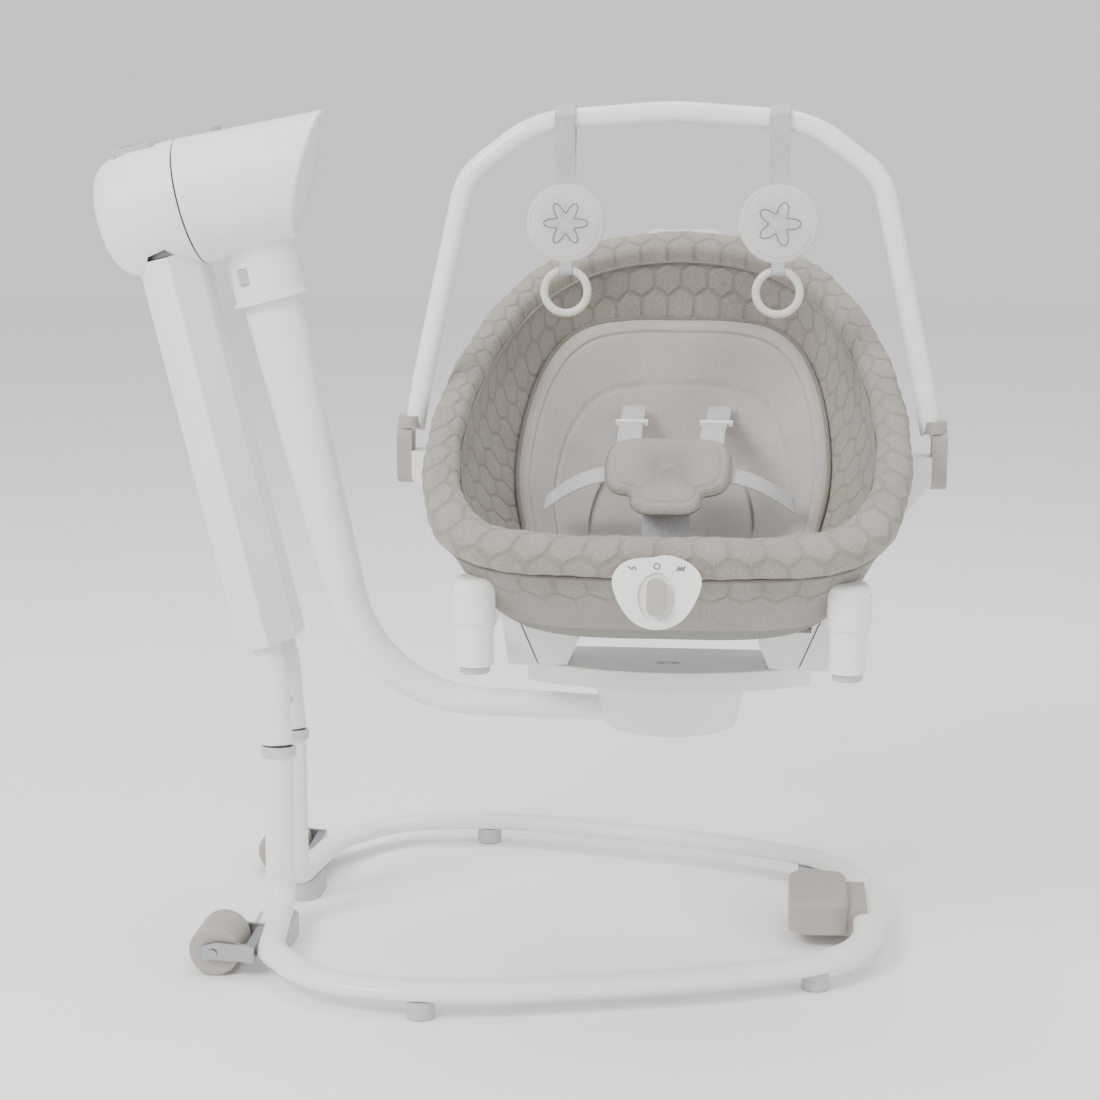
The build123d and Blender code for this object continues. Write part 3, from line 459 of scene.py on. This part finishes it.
def harness():
    """Tummy pad, shoulder, waist and crotch straps; each strap is webbing carried along a sagging curve."""
    outline = smooth(mirrored_ring(TUMMY_HALF), 200, closed=True)
    fit(pillow("tummy_pad_soft", outline, np.array([0, 185.0]), 37.0, -9.5, -6.0, in_seat), TUMMY, "seat",
        ["tummy_pad"])
    border = in_seat(np.column_stack([outline, np.full(len(outline), 36.5)]))
    fit(carried("tummy_piping", border, round_section(0.0016), OUT_OF_SEAT, closed=True), EDGE, "seat")
    runs = {"crotch_strap": ([(0, 119, 132), (0, 122, 100), (0, 132, 66), (0, 148, 44)], CROTCH_WIDTH,
                             (1, 0, 0))}
    for side, name in ((-1, "left"), (1, "right")):
        runs["shoulder_strap_" + name] = ([(side * 42, 228, 40), (side * 42.5, 262, 44), (side * 44, 305, 64),
                                           (side * 45.5, 352, 88), (side * 46.5, 392, 101)], STRAP_WIDTH,
                                          (1, 0, 0))
        runs["waist_strap_" + name] = ([(side * 52, 186, 39), (side * 76, 188, 46), (side * 100, 193, 62),
                                        (side * 126, 200, 88)], STRAP_WIDTH, tuple(UP_SLOPE))
    stands_for = {"crotch_strap": ["harness_straps"]}
    for name, (points, width, across) in runs.items():
        path = in_seat(smooth(points, 50))
        fit(carried(name, path, web_section(width / 1000, WEB_THICK), np.array(across, float)), WEB, "seat",
            stands_for.get(name, ()))


# ---------------------------------------------------------------- toys
def toy(side, name):
    """Plush disc with a stitched flower on each face, the webbing that carries it round the bar, and the
    ribbon that holds its ring: each band runs to what it holds, round it in a half circle, and back."""
    x, body = side * TOY_X, "toy_" + name

    def upright(grid):
        return place(np.stack([x + grid[..., 0], BAR_Y + grid[..., 2], DISC_Z + grid[..., 1]], -1))

    a = np.linspace(0, 2 * math.pi, 160, endpoint=False)
    ring = DISC_RADIUS * np.column_stack([np.cos(a), np.sin(a)])
    disc = pillow("plush_disc_" + name, ring, np.zeros(2), 0.0, -DISC_RISE, -DISC_RISE, upright, seam=0.88,
                  power=5)
    fit(disc, PLUSH, body, ["toy_disc_" + name])
    petals = 16 + 6 * np.cos(a * (6 if side < 0 else 5))
    for face in (-1, 1):
        flower = np.column_stack([petals * np.cos(a), petals * np.sin(a), np.full(160, face * 5.55)])
        fit(carried(f"stitched_flower_{name}_{'front' if face < 0 else 'back'}", upright(flower),
                    round_section(0.0006, 8), np.array([0, 1.0, 0]), closed=True), THREAD, body)

    def band(label, low, centre, radius, width, gap):
        b = np.linspace(math.pi, 0, 30)
        sign = 1 if centre > low else -1
        bend = np.column_stack([np.cos(b) * radius, centre + sign * np.sin(b) * radius])
        path = smooth(np.vstack([[-gap, low], [-gap, low + (centre - low) * 0.3], bend,
                                 [gap, low + (centre - low) * 0.3], [gap, low]]), 110)
        path = place(np.column_stack([np.full(len(path), x), BAR_Y + path[:, 0], path[:, 1]]))
        return carried(label + name, path, web_section(width / 1000, 0.0014), np.array([1.0, 0, 0]))

    fit(band("bar_band_", 788.0, BAR_Z, 13.4, 20.0, 1.2), WEB, body, ["toy_straps_" + name])
    fit(band("ring_ribbon_", 718.0, RING_TUBE_Z, 5.0, 13.0, 1.0), WEB, body)


def printed_signs():
    """Two small waves and a ring on the seat's control unit: sines and a circle just above its face."""
    out = np.array([0, -math.cos(UNIT_TILT), math.sin(UNIT_TILT)])
    up = np.array([0, math.sin(UNIT_TILT), math.cos(UNIT_TILT)])
    t = np.linspace(-1, 1, 40)
    a = np.linspace(0, 2 * math.pi, 40, endpoint=False)
    shapes = {"wave_sign_small": (np.column_stack([-22 + 4 * t, 23 + 1.2 * np.sin(t * 6)]), False),
              "wave_sign_large": (np.column_stack([22 + 4 * t, 23 + 2.0 * np.sin(t * 9)]), False),
              "rest_sign": (np.column_stack([2.6 * np.cos(a), 25 + 2.6 * np.sin(a)]), True)}
    for name, (flat, closed) in shapes.items():
        path = place(UNIT_FACE + flat[:, :1] * np.array([1.0, 0, 0]) + flat[:, 1:] * up
                     + 0.15 * out)
        fit(carried(name, path, round_section(0.0005, 8), out, closed=closed), DARK_LINE, "seat")


def panel_signs():
    """A wave and a ring on the head's control panel, beside its buttons: a sine and a circle a little above
    the panel, in the head's axis coordinates, which lean by HEAD_LEAN."""
    along = np.array([math.cos(HEAD_LEAN), 0, math.sin(HEAD_LEAN)])
    up = np.array([-math.sin(HEAD_LEAN), 0, math.cos(HEAD_LEAN)])
    t = np.linspace(-1, 1, 40)
    a = np.linspace(0, 2 * math.pi, 40, endpoint=False)
    shapes = {"panel_wave_sign": (np.column_stack([-172 + 12 * t, -14 + 2.0 * np.sin(t * 8)]), False),
              "panel_ring_sign": (np.column_stack([-172 + 3 * np.cos(a), 14 + 3 * np.sin(a)]), True)}
    for name, (flat, closed) in shapes.items():
        path = place(DRUM_END + flat[:, :1] * along + flat[:, 1:] * np.array([0, 1.0, 0])
                     + PANEL_HEIGHT * up)
        fit(carried(name, path, round_section(0.0006, 8), up, closed=closed), DARK_LINE, "stand")


seat_cover()
rim_piping()
body_pad()
harness()
toy(-1, "left")
toy(1, "right")
printed_signs()
panel_signs()

# ---------------------------------------------------------------- stage, light and camera
floor_mesh = bpy.data.meshes.new("floor")
floor_mesh.from_pydata([(-9, -9, 0), (9, -9, 0), (9, 9, 0), (-9, 9, 0)], [], [(0, 1, 2, 3)])
floor = bpy.data.objects.new("floor", floor_mesh)
bpy.context.scene.collection.objects.link(floor)
floor_mesh.materials.append(hard("pale_floor", tone(252, 252, 252), 0.7, 40, 0.02, spread=0.002))

world = bpy.data.worlds.new("studio")
bpy.context.scene.world = world
world.use_nodes = True
world.node_tree.nodes["Background"].inputs[0].default_value = (1, 1, 1, 1)
world.node_tree.nodes["Background"].inputs[1].default_value = 0.95


def soft_light(name, spot, aim, size, power):
    """Square studio light at a spot, turned to face a point."""
    data = bpy.data.lights.new(name, "AREA")
    data.shape, data.size, data.energy = "SQUARE", size, power
    lamp = bpy.data.objects.new(name, data)
    bpy.context.scene.collection.objects.link(lamp)
    lamp.location = spot
    lamp.rotation_euler = (Vector(aim) - Vector(spot)).to_track_quat("-Z", "Y").to_euler()


soft_light("key", (-2.2, -2.6, 3.0), (0, 0, 0.4), 1.5, 150)
soft_light("fill", (2.8, -1.6, 2.0), (0, 0, 0.4), 2.4, 30)
soft_light("top", (0.2, 0.6, 3.4), (0, 0, 0.3), 2.2, 60)

camera = bpy.data.objects.new("camera", bpy.data.cameras.new("camera"))
bpy.context.scene.collection.objects.link(camera)
camera.location = tuple(HOME + [0.0988, -2.4228, 0.854])
camera.rotation_euler = (math.pi / 2 - 0.1804, 0, 0.0932)
camera.data.lens, camera.data.sensor_width = 76.9, 36
bpy.context.scene.camera = camera
